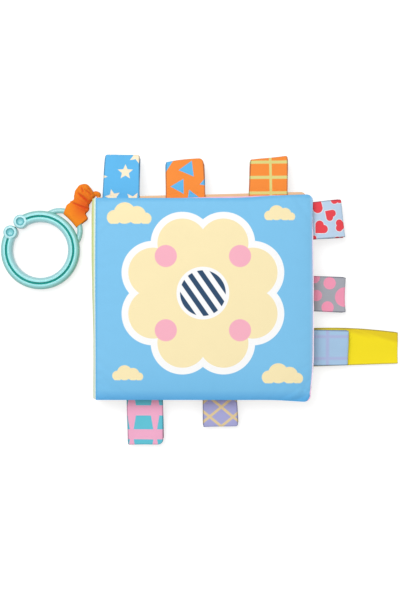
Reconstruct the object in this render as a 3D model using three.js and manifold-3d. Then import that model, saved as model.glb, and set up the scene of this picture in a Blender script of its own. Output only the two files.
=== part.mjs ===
// A crinkle cloth book: four padded leaves in a soft spine, folded ribbon tags along three sides,
// and a split plastic ring on a gathered strap at the spine's top corner.
// Millimetres, +Z up. The book lies on its back cover with the spine along -X, and the origin is the
// centre of the back cover's underside.
import * as THREE from "three";
import { mergeVertices } from "three/addons/utils/BufferGeometryUtils.js";
import Module from "manifold-3d";

// Leaves
const pageWidth = 160;
const pageDepth = 152;
const leafThickness = 5.7;
const leafGap = 0.3;
const clothThickness = 0.6;
const filmThickness = 0.3;
const pieceGap = 0.3;
const crownReach = 34;
const cornerRadius = 4.5;
const cornerPower = 8;

// Spine band
const spineBulge = 5.2;
const spineCloth = 0.8;
const spineTaperShare = 0.32;
const spineEndInset = 1;

// Tags
const tagReach = 30;
const labelReach = 64;
const ribbonThickness = 0.55;
const ribbonGap = 0.5;
const foldGap = 1.5;
const tagWave = 0.5;
const droopShare = 0.3;

// Ring
const ringDiameter = 60;
const ringWidth = 8.8;
const ringHeight = 8.5;
const ringEdgeRadius = 2;
const grooveWidth = 1.5;
const grooveDepth = 1.1;
const knobDiameter = 10.6;
const knobGap = 0.6;
const knobOutset = 0.6;
const knobEdgeRadius = 1.2;
const dimpleDiameter = 6.2;
const dimpleDepth = 1.4;
const eyeletRadius = 15.4;
const eyeletBar = 4.2;
const strapSlot = 4.2;
const ringOpeningDegrees = 137;

// Strap
const strapDegrees = 45;
const strapSpan = 23.1;
const strapPly = 0.9;
const strapLead = 10;
const strapTuck = 10;
const strapRise = 5.5;
const loopDegrees = 31;
const loopReach = 3.6;
const sleeveWidth = 17;
const sleeveHeight = 7.4;
const sleeveCloth = 0.8;
const elasticWidth = 7;
const elasticThickness = 1.2;
const anchorAside = 3;
const anchorBeyond = 4.4;
const anchorHeightShare = 0.2;
const sewnEndDrop = 1.2;
const sewnEndTuck = 2;
const sewnEndAside = 1.2;
const sewnEndRise = 1;

// Worked out from the sizes above
const halfWidth = pageWidth / 2;
const halfDepth = pageDepth / 2;
const leafPitch = leafThickness + leafGap;
const edgeThickness = clothThickness + pieceGap / 2;
const ringRadius = ringDiameter / 2;
const ringMeanRadius = ringRadius - ringWidth / 2;
const eyeletDistance = ringRadius + strapSlot + eyeletBar / 2 - eyeletRadius;

const palette = {
  sky: 0x7dc3eb, pink: 0xf4bcd6, tan: 0xe9b98f, mint: 0xbfe3c6, lavender: 0xc4b7e6,
  butter: 0xfbe7a4, lime: 0xd6e79a, orange: 0xfa8a2c, yellow: 0xfae02a, aqua: 0xa9d9ea,
  grey: 0xb9bec6, lilac: 0xb9a3df, rose: 0xf1689c, teal: 0x9bdcdc, wadding: 0xf6f4ee, film: 0xe4ecef,
};

const material = (color, roughness, extra) =>
  new THREE.MeshStandardMaterial({ color, roughness, metalness: 0, ...extra });
const cloth = (color) => material(color, 0.9);

const book = new THREE.Group();

function addPiece(name, geometry, look) {
  const mesh = new THREE.Mesh(geometry, look);
  mesh.name = name;
  book.add(mesh);
}

// A closed solid from points and triangles, turned so that its faces point out.
function solidFrom(points, triangles) {
  const geometry = new THREE.BufferGeometry().setFromPoints(points);
  const volume = triangles.reduce(
    (sum, [a, b, c]) => sum + points[a].dot(new THREE.Vector3().crossVectors(points[b], points[c])),
    0,
  );
  const outward = volume < 0 ? triangles.map(([a, b, c]) => [a, c, b]) : triangles;
  geometry.setIndex(outward.flat());
  geometry.computeVertexNormals();
  return geometry;
}

// The solid between two grids of points with the same rows and columns.
function slabBetween(top, bottom) {
  const rows = top.length;
  const columns = top[0].length;
  const points = [...top.flat(), ...bottom.flat()];
  const at = (row, column, side) => side * rows * columns + row * columns + column;
  const triangles = [];
  for (let row = 1; row < rows; row++) {
    for (let column = 1; column < columns; column++) {
      for (const side of [0, 1]) {
        const [a, b] = [at(row - 1, column - 1, side), at(row - 1, column, side)];
        const [c, d] = [at(row, column, side), at(row, column - 1, side)];
        const rising = (row * 2 <= rows) === (column * 2 <= columns);
        const pair = rising ? [[a, b, c], [a, c, d]] : [[a, b, d], [b, c, d]];
        triangles.push(...(side ? pair.map((corners) => corners.reverse()) : pair));
      }
    }
  }
  const rim = [];
  for (let column = 0; column < columns - 1; column++) rim.push([0, column]);
  for (let row = 0; row < rows - 1; row++) rim.push([row, columns - 1]);
  for (let column = columns - 1; column > 0; column--) rim.push([rows - 1, column]);
  for (let row = rows - 1; row > 0; row--) rim.push([row, 0]);
  rim.forEach(([row, column], index) => {
    const [nextRow, nextColumn] = rim[(index + 1) % rim.length];
    const [a, b] = [at(row, column, 0), at(nextRow, nextColumn, 0)];
    const [c, d] = [at(nextRow, nextColumn, 1), at(row, column, 1)];
    triangles.push([b, a, d], [b, d, c]);
  });
  return solidFrom(points, triangles);
}

// A solid through a row of sections that all have the same points. An open row is capped with the
// triangles of its flat outline, and a round one joins its last section to its first.
function loft(sections, outline) {
  const count = sections[0].length;
  const points = sections.flat();
  const triangles = [];
  const last = outline ? sections.length - 1 : sections.length;
  for (let station = 0; station < last; station++) {
    const next = (station + 1) % sections.length;
    for (let corner = 0; corner < count; corner++) {
      const [a, b] = [station * count + corner, station * count + ((corner + 1) % count)];
      const [c, d] = [next * count + ((corner + 1) % count), next * count + corner];
      triangles.push([a, b, c], [a, c, d]);
    }
  }
  if (outline) {
    const turning = Math.sign(THREE.ShapeUtils.area(outline));
    const end = (sections.length - 1) * count;
    for (const corners of THREE.ShapeUtils.triangulateShape(outline, [])) {
      const along = Math.sign(THREE.ShapeUtils.area(corners.map((corner) => outline[corner]))) === turning;
      const [a, b, c] = along ? corners : corners.toReversed();
      triangles.push([c, b, a], [a + end, b + end, c + end]);
    }
  }
  return solidFrom(points, triangles);
}

const mix = THREE.MathUtils.lerp;
const flat = (x, y) => new THREE.Vector2(x, y);

// Leaves. Each is two cloth panels sewn edge to edge, with wadding and a crinkle film between them.
// Every leaf is cut and sewn a little differently, so the outline of each side is a row of shares of the
// page's half size, from left to right or from bottom to top.
const coarseEdgeShares = [0, 0.08, 0.24, 0.5, 1];
const fineEdgeShares = [0, 0.05, 0.14, 0.28, 0.5, 0.74, 1];
const leaves = {
  back_cover: {
    level: 0,
    edgeShares: coarseEdgeShares,
    sideShares: {
      left: [-1], right: [0.985, 0.975, 0.985],
      bottom: [-0.985, -0.972, -0.99], top: [0.982, 0.975, 1],
    },
    panels: { back_cover_outer: palette.lime, back_cover_inner: palette.butter },
  },
  second_leaf: {
    level: 1,
    edgeShares: coarseEdgeShares,
    sideShares: {
      left: [-1], right: [0.98, 0.97, 0.985],
      bottom: [-0.985, -0.972, -0.985], top: [0.985, 0.985, 1.005],
    },
    panels: { second_leaf_back: palette.lavender, second_leaf_front: palette.mint },
  },
  first_leaf: {
    level: 2,
    edgeShares: coarseEdgeShares,
    sideShares: {
      left: [-1], right: [0.975, 0.97, 0.96],
      bottom: [-0.985, -0.975, -0.985], top: [0.999, 1.032, 1.065],
    },
    panels: { first_leaf_back: palette.butter, first_leaf_front: palette.tan },
  },
  front_cover: {
    level: 3,
    edgeShares: fineEdgeShares,
    sideShares: {
      left: [-1], right: [0.984, 1.0075, 1.0095, 1.0095, 1.0095, 1.009, 1.005],
      bottom: [-0.988, -0.988, -0.988, -0.988, -0.989, -0.993, -1.016],
      top: [0.9875, 0.9865, 0.9865, 0.9865, 0.989, 1.0105, 1.0225],
    },
    panels: { front_cover_inner: palette.pink, front_cover_outer: palette.sky },
  },
};

const leafMiddle = (leaf) => leafThickness / 2 + leaf.level * leafPitch;
const spineTopShare = leaves.back_cover.sideShares.top[0];

// The share at a place from -1 to 1 along a side, on a smooth curve through the side's row of shares.
function shareAt(row, place) {
  const points = row.map((share, index) => flat(index, share));
  return new THREE.SplineCurve(points).getPoint((place + 1) / 2).y;
}

// The place on a leaf at shares of its half width and half depth. Its right corners are round.
function leafPlace(leaf, across, along) {
  const { left, right, bottom, top } = leaf.sideShares;
  const fromEdge = Math.min(cornerRadius, (1 - across) * halfWidth);
  const rounding = cornerRadius - Math.sqrt(cornerRadius ** 2 - (cornerRadius - fromEdge) ** 2);
  return flat(
    mix(shareAt(left, along), shareAt(right, along), (1 + across) / 2) * halfWidth,
    mix(shareAt(bottom, across), shareAt(top, across), (1 + along) / 2) * halfDepth -
      Math.sign(along) * Math.abs(along) ** cornerPower * rounding,
  );
}

// The lines of a leaf's grid along one direction, as places from -1 to 1, each with its share of the crown.
function gridLines(edgeShares, halfLength) {
  const rise = (share) => Math.sqrt(1 - (1 - share) ** 2);
  const near = edgeShares.map((share) => ({
    place: (share * crownReach) / halfLength - 1,
    crown: rise(share),
  }));
  const far = near.map(({ place, crown }) => ({ place: -place, crown })).reverse();
  return [...near, { place: 0, crown: 1 }, ...far];
}

function addLeaf(name, leaf) {
  const columns = gridLines(leaf.edgeShares, halfWidth);
  const rows = gridLines(leaf.edgeShares, halfDepth);
  const middle = leafMiddle(leaf);
  const inside = (lines, skip) => lines.slice(skip, lines.length - skip);
  const surface = (height, skip) =>
    inside(rows, skip).map((row) =>
      inside(columns, skip).map((column) => {
        const place = leafPlace(leaf, column.place, row.place);
        return new THREE.Vector3(place.x, place.y, middle + height(row.crown * column.crown));
      }),
    );
  const outer = (crown) => mix(edgeThickness, leafThickness / 2, crown);
  const inner = (crown) => outer(crown) - clothThickness;
  const filmTop = (crown) => inner(crown) - pieceGap;
  const filmBottom = (crown) => filmTop(crown) - filmThickness;
  const waddingTop = (crown) => filmBottom(crown) - pieceGap;
  const below = (height) => (crown) => -height(crown);

  const [lower, upper] = Object.entries(leaf.panels);
  addPiece(lower[0], slabBetween(surface(below(inner), 0), surface(below(outer), 0)), cloth(lower[1]));
  addPiece(upper[0], slabBetween(surface(outer, 0), surface(inner, 0)), cloth(upper[1]));
  addPiece(
    `${name}_wadding`,
    slabBetween(surface(waddingTop, 2), surface(below(filmTop), 2)),
    cloth(palette.wadding),
  );
  addPiece(
    `${name}_crinkle_film`,
    slabBetween(surface(filmTop, 2), surface(filmBottom, 2)),
    material(palette.film, 0.25, { transparent: true, opacity: 0.7 }),
  );
}

// Spine band: one strip of cloth bowed round the leaves' bound edges, from cover seam to cover seam.
function addSpineBand() {
  const bottom = leafMiddle(leaves.back_cover);
  const top = leafMiddle(leaves.front_cover);
  const bowSteps = 8;
  const lengthSteps = 8;
  const bow = (bulge, wall) => {
    const half = (top - bottom) / 2 - wall;
    return Array.from({ length: bowSteps + 1 }, (_, step) => {
      const turn = (Math.PI * step) / bowSteps;
      return flat(-(bulge - wall) * Math.sin(turn), (bottom + top) / 2 - half * Math.cos(turn));
    });
  };
  const outline = (bulge) => [...bow(bulge, 0), ...bow(bulge, spineCloth).reverse()];
  const seam = -halfWidth - pieceGap;
  const end = halfDepth - spineEndInset;
  const sections = Array.from({ length: lengthSteps + 1 }, (_, step) => {
    const share = step / lengthSteps;
    const place = mix(end * spineTopShare, -end, share);
    return outline(spineBulge * (1 - spineTaperShare * share)).map(
      ({ x, y }) => new THREE.Vector3(seam + x, place, y),
    );
  });
  addPiece("spine_band", loft(sections, outline(spineBulge)), cloth(palette.lime));
}

// Tags. Each is a ribbon folded in two and sewn into a leaf's seam. Places along the side are shares of its
// half length, and reaches are shares of the tag's full length, given at the two sides of the ribbon.
const tagShares = {
  star_tag: {
    leaf: "first_leaf", side: "top", full: tagReach,
    base: [-0.956, -0.6], end: [-0.935, -0.602], reach: [1.071, 1.045],
  },
  triangle_tag: {
    leaf: "first_leaf", side: "top", full: tagReach,
    base: [-0.349, 0.031], end: [-0.35, 0.015], reach: [0.852, 0.906],
  },
  check_tag: {
    leaf: "first_leaf", side: "top", full: tagReach,
    base: [0.448, 0.82], end: [0.466, 0.825], reach: [0.821, 0.89],
  },
  heart_tag: {
    leaf: "first_leaf", side: "right", full: tagReach,
    base: [0.912, 0.525], end: [0.952, 0.559], reach: [0.867, 0.968],
  },
  dot_tag: {
    leaf: "second_leaf", side: "right", full: tagReach,
    base: [0.22, -0.137], end: [0.202, -0.149], reach: [0.991, 0.995],
  },
  plaid_tag: {
    leaf: "second_leaf", side: "right", full: tagReach,
    base: [-0.321, -0.688], end: [-0.333, -0.684], reach: [1.078, 1.039],
  },
  yellow_label: {
    leaf: "back_cover", side: "right", full: labelReach,
    base: [-0.305, -0.698], end: [-0.348, -0.666], reach: [1.099, 1.092],
  },
  block_tag: {
    leaf: "second_leaf", side: "bottom", full: tagReach,
    base: [-0.385, -0.734], end: [-0.383, -0.721], reach: [1.234, 1.226],
  },
  lattice_tag: {
    leaf: "second_leaf", side: "bottom", full: tagReach,
    base: [0.324, -0.006], end: [0.335, 0.002], reach: [0.774, 0.804],
  },
};
const tagColours = {
  star_tag: palette.sky, triangle_tag: palette.orange, check_tag: palette.orange, heart_tag: palette.aqua,
  dot_tag: palette.grey, plaid_tag: palette.aqua, yellow_label: palette.yellow, block_tag: palette.rose,
  lattice_tag: palette.lilac,
};

// The side view of a folded ribbon: out along the upper ply, round the fold and back, then the same inside.
function ribbonOutline(length) {
  const base = ribbonThickness + ribbonGap / 2;
  const fold = ribbonThickness + foldGap / 2;
  const middle = (base + fold) / 2;
  const bend = length - fold;
  const slant = Math.SQRT1_2;
  const outside = [
    flat(0, base), flat(bend / 2, middle), flat(bend, fold), flat(bend + fold * slant, fold * slant),
    flat(length, 0), flat(bend + fold * slant, -fold * slant), flat(bend, -fold), flat(bend / 2, -middle),
    flat(0, -base),
  ];
  const inside = [
    flat(0, -base + ribbonThickness), flat(bend / 2, -middle + ribbonThickness),
    flat(bend, -fold + ribbonThickness), flat(length - ribbonThickness, 0),
    flat(bend, fold - ribbonThickness), flat(bend / 2, middle - ribbonThickness),
    flat(0, base - ribbonThickness),
  ];
  return [...outside, ...inside];
}

function addTag(name, tag) {
  const leaf = leaves[tag.leaf];
  const steps = 4;
  const sideways = tag.side === "right";
  const sign = tag.side === "bottom" ? -1 : 1;
  const half = sideways ? halfDepth : halfWidth;
  const out = sideways ? flat(1, 0) : flat(0, sign);
  const height = leafMiddle(leaf);
  const outlines = [];
  const sections = Array.from({ length: steps + 1 }, (_, step) => {
    const share = step / steps;
    const place = mix(...tag.base, share);
    const edge = sideways ? leafPlace(leaf, 1, place) : leafPlace(leaf, place, sign);
    const start = edge.addScaledVector(out, pieceGap);
    const shift = (mix(...tag.end, share) - place) * half;
    const reach = mix(...tag.reach, share) * tag.full;
    const run = out.clone().multiplyScalar(reach).add(sideways ? flat(0, shift) : flat(shift, 0));
    const length = run.length();
    const outline = ribbonOutline(length);
    outlines.push(outline);
    return outline.map(({ x, y }) => {
      const gone = x / length;
      const sag = droopShare * height * gone ** 2 - tagWave * gone * Math.sin(Math.PI * 2 * share);
      return new THREE.Vector3(start.x + run.x * gone, start.y + run.y * gone, height + y - sag);
    });
  });
  addPiece(name, loft(sections, outlines[0]), cloth(tagColours[name]));
}

// Ring. Its opening is closed by two knobs that nearly touch, and the strap's eyelet stands out of its rim.
const wasm = await Module();
wasm.setup();

function toManifold(geometry) {
  const bare = geometry.clone();
  bare.deleteAttribute("normal");
  bare.deleteAttribute("uv");
  const merged = mergeVertices(bare);
  const index = Array.from(merged.index.array);
  const kept = [];
  for (let corner = 0; corner < index.length; corner += 3) {
    const [a, b, c] = index.slice(corner, corner + 3);
    if (a !== b && b !== c && c !== a) kept.push(a, b, c);
  }
  const mesh = new wasm.Mesh({
    numProp: 3,
    vertProperties: new Float32Array(merged.attributes.position.array),
    triVerts: new Uint32Array(kept),
  });
  return new wasm.Manifold(mesh);
}

function fromManifold(manifold) {
  const { vertProperties, triVerts } = manifold.getMesh();
  const geometry = new THREE.BufferGeometry();
  geometry.setAttribute("position", new THREE.BufferAttribute(new Float32Array(vertProperties), 3));
  geometry.setIndex(new THREE.BufferAttribute(new Uint32Array(triVerts), 1));
  geometry.computeVertexNormals();
  return geometry;
}

// A bar of one section bent round a centre, between two angles.
function bentBar(centre, radius, from, to, steps, outline) {
  const sections = Array.from({ length: steps + 1 }, (_, step) => {
    const turn = mix(from, to, step / steps);
    return outline.map(({ x, y }) => {
      const reach = radius + x;
      return new THREE.Vector3(centre.x + reach * Math.cos(turn), centre.y + reach * Math.sin(turn), y);
    });
  });
  return loft(sections, outline);
}

function arcPoints(x, y, radius, from, to, steps) {
  return Array.from({ length: steps + 1 }, (_, step) => {
    const turn = mix(from, to, step / steps);
    return flat(x + radius * Math.cos(turn), y + radius * Math.sin(turn));
  });
}

// The ring's section: rounded edges, and a groove along the middle of its top.
function ringOutline() {
  const side = ringWidth / 2 - ringEdgeRadius;
  const [low, high] = [ringEdgeRadius, ringHeight - ringEdgeRadius];
  const quarter = Math.PI / 2;
  const edgeSteps = 3;
  const floor = ringHeight - grooveDepth;
  const groove = grooveWidth / 2;
  return [
    ...arcPoints(side, low, ringEdgeRadius, -quarter, 0, edgeSteps),
    ...arcPoints(side, high, ringEdgeRadius, 0, quarter, edgeSteps),
    flat(groove, ringHeight), flat(groove * Math.SQRT1_2, floor), flat(-groove * Math.SQRT1_2, floor),
    flat(-groove, ringHeight),
    ...arcPoints(-side, high, ringEdgeRadius, quarter, quarter * 2, edgeSteps),
    ...arcPoints(-side, low, ringEdgeRadius, quarter * 2, quarter * 3, edgeSteps),
  ];
}

// A round piece turned from a profile of distances from its axis and heights, from the axis to the axis.
function turned(profile, centre) {
  const turnSteps = 28;
  const lathe = new THREE.LatheGeometry(profile, turnSteps);
  lathe.rotateX(Math.PI / 2);
  lathe.translate(centre.x, centre.y, 0);
  return toManifold(lathe);
}

// A knob is as tall as the ring, with rounded edges.
function knob(centre) {
  const quarter = Math.PI / 2;
  const side = knobDiameter / 2 - knobEdgeRadius;
  return turned([
    flat(0, 0),
    ...arcPoints(side, knobEdgeRadius, knobEdgeRadius, -quarter, 0, 2),
    ...arcPoints(side, ringHeight - knobEdgeRadius, knobEdgeRadius, 0, quarter, 2),
    flat(0, ringHeight),
  ], centre);
}

// The hollow in a knob's top, as the body that is cut away from it.
function dimple(centre) {
  const radius = dimpleDiameter / 2;
  const floor = ringHeight - dimpleDepth;
  return turned([
    flat(0, floor), flat(radius * 0.4, floor + dimpleDepth * 0.08),
    flat(radius * 0.7, floor + dimpleDepth * 0.3), flat(radius, ringHeight),
    flat(radius, ringHeight + dimpleDepth), flat(0, ringHeight + dimpleDepth),
  ], centre);
}

const strapTurn = THREE.MathUtils.degToRad(strapDegrees);
const strapLine = flat(Math.cos(strapTurn), Math.sin(strapTurn));
const anchor = flat(-halfWidth - anchorAside, halfDepth * spineTopShare + anchorBeyond);
const anchorHeight = anchorHeightShare * (leafMiddle(leaves.front_cover) + leafThickness / 2);
const barPlace = anchor.clone().addScaledVector(strapLine, -strapSpan);
const eyeletCentre = barPlace.clone().addScaledVector(strapLine, -eyeletRadius);
const ringCentre = eyeletCentre.clone().addScaledVector(strapLine, -eyeletDistance);
const barHeight = ringHeight / 2;

function addRing() {
  const opening = THREE.MathUtils.degToRad(ringOpeningDegrees);
  const knobReach = ringMeanRadius + knobOutset;
  const halfOpening = Math.asin((knobDiameter + knobGap) / 2 / knobReach);
  const [from, to] = [opening + halfOpening, opening - halfOpening + Math.PI * 2];
  const ringSteps = 60;
  let ring = toManifold(bentBar(ringCentre, ringMeanRadius, from, to, ringSteps, ringOutline()));

  const reach =
    (ringMeanRadius ** 2 - eyeletDistance ** 2 - eyeletRadius ** 2) / (2 * eyeletDistance * eyeletRadius);
  const eyeletHalf = Math.acos(reach);
  const barSides = 10;
  const barOutline = arcPoints(0, barHeight, eyeletBar / 2, 0, Math.PI * 2, barSides).slice(0, -1);
  const eyeletSteps = 20;
  const eyelet = bentBar(
    eyeletCentre, eyeletRadius, strapTurn - eyeletHalf, strapTurn + eyeletHalf, eyeletSteps, barOutline,
  );
  ring = ring.add(toManifold(eyelet));
  for (const turn of [from, to]) {
    const place = flat(Math.cos(turn), Math.sin(turn)).multiplyScalar(knobReach).add(ringCentre);
    ring = ring.add(knob(place)).subtract(dimple(place));
  }
  addPiece("c_ring", fromManifold(ring), material(palette.teal, 0.25));
}

// Strap. One end is a wide loop round the eyelet's bar, its middle is a gathered sleeve over an elastic,
// and its other end is sewn into the spine's top end.
function addStrapLoop() {
  const inside = eyeletBar / 2 + pieceGap;
  const bendSteps = 5;
  const quarter = Math.PI / 2;
  const side = (extra) => [
    ...arcPoints(0, 0, inside + extra, quarter, quarter * 3, bendSteps),
    ...arcPoints(loopReach, 0, inside / 2 + extra, -quarter, quarter, 3),
  ];
  const [hole, skin] = [side(0), side(strapPly)];
  const widthSteps = 6;
  const half = THREE.MathUtils.degToRad(loopDegrees);
  const across = Array.from({ length: widthSteps + 1 }, (_, step) => mix(-half, half, step / widthSteps));
  // the loop fans out round the bar, and keeps its width from there to the sleeve
  const place = ({ x, y }, fan) => {
    const reach = eyeletRadius + x;
    const turn = strapTurn + (fan * eyeletRadius) / Math.max(reach, eyeletRadius);
    return new THREE.Vector3(
      eyeletCentre.x + reach * Math.cos(turn),
      eyeletCentre.y + reach * Math.sin(turn),
      barHeight + y,
    );
  };
  const sections = hole.map((point, index) => [
    ...across.map((fan) => place(point, fan)),
    ...across.toReversed().map((fan) => place(skin[index], fan)),
  ]);
  addPiece("strap_loop", loft(sections), cloth(palette.orange));
}

// The strap leaves the bar along its line, and turns in to the spine's top end from beside it.
const strapRoute = new THREE.CubicBezierCurve(
  barPlace,
  barPlace.clone().addScaledVector(strapLine, strapLead),
  anchor.clone().add(flat(-strapTuck, strapRise)),
  anchor,
);
const routeLength = strapRoute.getLength();
const sleeveStart = loopReach + eyeletBar / 4 + pieceGap / 2 + strapPly + pieceGap * 2;

// A place on the strap at a distance from the bar, with the direction across the strap and the height.
function onStrap(gone) {
  const share = gone / routeLength;
  const { x, y } = strapRoute.getTangentAt(share);
  return {
    centre: strapRoute.getPointAt(share),
    across: flat(-y, x),
    along: flat(x, y),
    height: mix(barHeight, anchorHeight, share),
  };
}

// The sleeve is gathered: it swells and narrows at every fold, and is drawn together at the spine.
const sleeveWidthShares = [0.88, 0.98, 0.93, 1, 0.92, 0.98, 0.88, 0.92, 0.76, 0.72, 0.5, 0.36];
const sleeveHeightShares = [0.8, 1, 0.9, 1, 0.88, 1, 0.9, 0.98, 0.86, 0.92, 0.74, 0.7];

function addStrapSleeve() {
  const sides = 20;
  const turnInSteps = 4;
  const last = sleeveWidthShares.length - 1;
  const mouthRadius = eyeletRadius + sleeveStart;
  const oval = (step, inset) => {
    const { centre, along, height } = onStrap(mix(sleeveStart, routeLength, step / last));
    const ahead = strapLine.clone().lerp(along, Math.min(step / turnInSteps, 1)).normalize();
    const across = flat(-ahead.y, ahead.x);
    const halfAcross = (sleeveWidth * sleeveWidthShares[step]) / 2 - inset;
    const halfUp = (sleeveHeight * sleeveHeightShares[step]) / 2 - inset;
    const bow = (1 - step / last) * (mouthRadius - Math.sqrt(mouthRadius ** 2 - halfAcross ** 2));
    return Array.from({ length: sides }, (_, side) => {
      const turn = (Math.PI * 2 * side) / sides;
      const point = centre.clone().addScaledVector(across, halfAcross * Math.cos(turn));
      point.addScaledVector(ahead, -bow * Math.cos(turn) ** 2);
      return new THREE.Vector3(point.x, point.y, height + halfUp * Math.sin(turn));
    });
  };
  const outside = sleeveWidthShares.map((_, step) => oval(step, 0));
  const inside = sleeveWidthShares.map((_, step) => oval(step, sleeveCloth));
  addPiece("strap_sleeve", loft([...outside, ...inside.reverse()]), cloth(palette.orange));
}

// A flat strip through places on the strap, each with its half width and half thickness.
function strip(places) {
  const corners = [flat(-1, -1), flat(1, -1), flat(1, 1), flat(-1, 1)];
  const sections = places.map(({ centre, across, height, halfAcross, halfUp }) =>
    corners.map(({ x, y }) => {
      const point = centre.clone().addScaledVector(across, x * halfAcross);
      return new THREE.Vector3(point.x, point.y, height + y * halfUp);
    }),
  );
  return loft(sections, corners);
}

function addStrapElastic() {
  const half = elasticThickness / 2;
  const placeShares = [0, 0.4, 0.75, 1];
  const widthShares = [1, 1, 0.5, 0.2];
  const places = placeShares.map((share, index) => ({
    ...onStrap(mix(sleeveStart, routeLength, share)),
    halfAcross: (elasticWidth * widthShares[index]) / 2,
    halfUp: half,
  }));
  addPiece("strap_elastic", strip(places), cloth(palette.wadding));
}

// The strap's end is tucked between the spine band and the leaves, and sewn there.
function addSewnEnd() {
  const half = elasticThickness / 2;
  const spineTop = (halfDepth - spineEndInset) * spineTopShare;
  const place = (y, rise) => ({
    centre: flat(-halfWidth - sewnEndAside, y),
    across: flat(1, 0),
    height: anchorHeight + rise,
    halfAcross: half,
    halfUp: elasticThickness,
  });
  const places = [
    place(anchor.y - sewnEndDrop, 0),
    place(spineTop + elasticThickness, sewnEndRise),
    place(spineTop - sewnEndTuck, sewnEndRise),
  ];
  addPiece("strap_sewn_end", strip(places), cloth(palette.orange));
}

for (const [name, leaf] of Object.entries(leaves)) addLeaf(name, leaf);
addSpineBand();
for (const [name, tag] of Object.entries(tagShares)) addTag(name, tag);
addRing();
addStrapLoop();
addStrapSleeve();
addStrapElastic();
addSewnEnd();

export default book;
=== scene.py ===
import math

import bmesh
import bpy
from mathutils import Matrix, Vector, noise


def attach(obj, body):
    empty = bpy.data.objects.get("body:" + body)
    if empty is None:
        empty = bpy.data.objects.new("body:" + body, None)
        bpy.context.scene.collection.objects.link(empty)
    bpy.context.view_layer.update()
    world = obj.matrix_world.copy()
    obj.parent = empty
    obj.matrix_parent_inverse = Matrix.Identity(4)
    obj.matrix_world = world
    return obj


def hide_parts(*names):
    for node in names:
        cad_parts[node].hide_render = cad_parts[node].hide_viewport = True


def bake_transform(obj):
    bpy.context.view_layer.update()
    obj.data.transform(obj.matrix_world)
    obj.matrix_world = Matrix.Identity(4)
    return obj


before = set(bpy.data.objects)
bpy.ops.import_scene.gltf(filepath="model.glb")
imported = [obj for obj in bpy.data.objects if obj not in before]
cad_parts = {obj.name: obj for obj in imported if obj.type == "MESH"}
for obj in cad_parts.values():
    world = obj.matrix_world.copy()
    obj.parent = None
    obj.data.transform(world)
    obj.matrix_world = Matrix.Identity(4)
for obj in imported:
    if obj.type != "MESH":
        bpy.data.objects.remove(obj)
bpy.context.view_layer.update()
mm = 0.001  # sizes below are millimetres, and Blender works in metres

camera = {
    "place": (-0.0028, -0.0015, 0.7),
    "lens": 54.53,
    "sensor": 36,
}


def addCamera():
    lens = bpy.data.cameras.new("camera")
    lens.lens = camera["lens"]
    lens.sensor_width = camera["sensor"]
    eye = bpy.data.objects.new("camera", lens)
    eye.location = camera["place"]
    bpy.context.scene.collection.objects.link(eye)
    bpy.context.scene.camera = eye


addCamera()
print("camera in place")


# shader maths: an expression on values adds its Math nodes
class Value:
    def __init__(self, tree, socket=None):
        self.tree = tree
        self.socket = socket

    def node(self, kind, values=(), output=0, **settings):
        made = self.tree.nodes.new("ShaderNode" + kind)
        for name, setting in settings.items():
            setattr(made, name, setting)
        for key, value in dict(values).items():
            if isinstance(value, Value):
                self.tree.links.new(value.socket, made.inputs[key])
            else:
                made.inputs[key].default_value = value
        return Value(self.tree, made.outputs[output])

    def math(self, operation, *others):
        return self.node("Math", enumerate([self, *others]), operation=operation)

    def vector(self, operation, other, output=0):
        return self.node("VectorMath", {0: self, 1: other}, output, operation=operation)

    def __add__(self, other):
        return self.math("ADD", other)

    def __sub__(self, other):
        return self.math("SUBTRACT", other)

    def __rsub__(self, other):
        return self.node("Math", {0: other, 1: self}, operation="SUBTRACT")

    def __mul__(self, other):
        return self.math("MULTIPLY", other)

    __radd__ = __add__
    __rmul__ = __mul__

    def __truediv__(self, other):
        return self.math("DIVIDE", other)

    def __pow__(self, other):
        return self.math("POWER", other)

    def __abs__(self):
        return self.math("ABSOLUTE")

    def ramp(self, start, end):  # 0 up to the start, and 1 from the end on
        return self.node("Clamp", {0: (self - start) / (end - start)})

    def xyz(self):
        return [self.node("SeparateXYZ", {0: self}, axis) for axis in range(3)]

    def clouded(self, scale, detail, distortion=0):
        return self.node("TexNoise", {"Vector": self, "Scale": scale, "Detail": detail, "Distortion": distortion})

    def feed(self, shader, name):
        self.tree.links.new(self.socket, shader.inputs[name])

    def feedBump(self, shader, strength):
        self.node("Bump", {"Height": self, "Distance": mm, "Strength": strength}).feed(shader, "Normal")


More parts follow.
